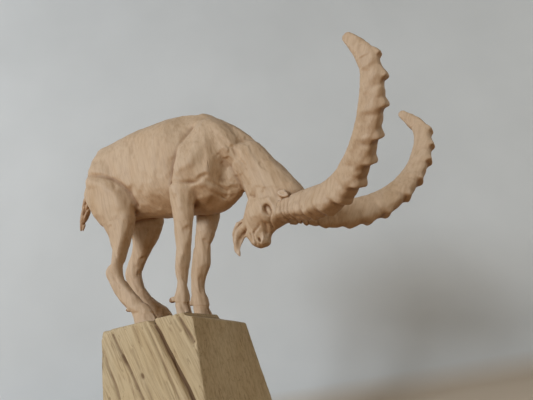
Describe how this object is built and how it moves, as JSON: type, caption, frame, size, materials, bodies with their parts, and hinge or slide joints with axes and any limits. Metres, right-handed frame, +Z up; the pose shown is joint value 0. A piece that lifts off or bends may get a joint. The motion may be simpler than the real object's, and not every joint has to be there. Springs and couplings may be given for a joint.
{
  "type": "carved wooden ibex figure",
  "caption": "Carved wooden ibex with long ridged horns and lowered head, standing with its hooves together on a rough split block.",
  "frame": {"origin": "on the block's underside, on the animal's middle plane, below the hooves", "axes": "+X the way the animal faces, +Y its left, +Z up"},
  "size_m": [0.5698, 0.2851, 0.491],
  "materials": {
    "carved_wood": "knife-carved pale wood, bare and dry",
    "horn_wood": "knife-carved pale wood with ridges, bare and dry",
    "split_block": "split and sawn log face, weathered, with checks",
    "dowel_rod": "turned beech rod, glued in"
  },
  "bodies": {
    "root": {"base_block": "split_block", "torso": "carved_wood", "head_and_neck": "carved_wood", "front_right_leg": "carved_wood", "front_left_leg": "carved_wood", "hind_right_leg": "carved_wood", "hind_left_leg": "carved_wood", "tail": "carved_wood", "right_horn": "horn_wood", "left_horn": "horn_wood", "upper_neck_dowel": "dowel_rod", "lower_neck_dowel": "dowel_rod", "right_horn_dowel": "dowel_rod", "left_horn_dowel": "dowel_rod", "front_right_leg_dowel": "dowel_rod", "front_left_leg_dowel": "dowel_rod", "hind_right_leg_dowel": "dowel_rod", "hind_left_leg_dowel": "dowel_rod", "front_right_hoof_pin": "dowel_rod", "front_left_hoof_pin": "dowel_rod", "hind_right_hoof_pin": "dowel_rod", "hind_left_hoof_pin": "dowel_rod", "tail_dowel": "dowel_rod"}
  },
  "joints": []
}
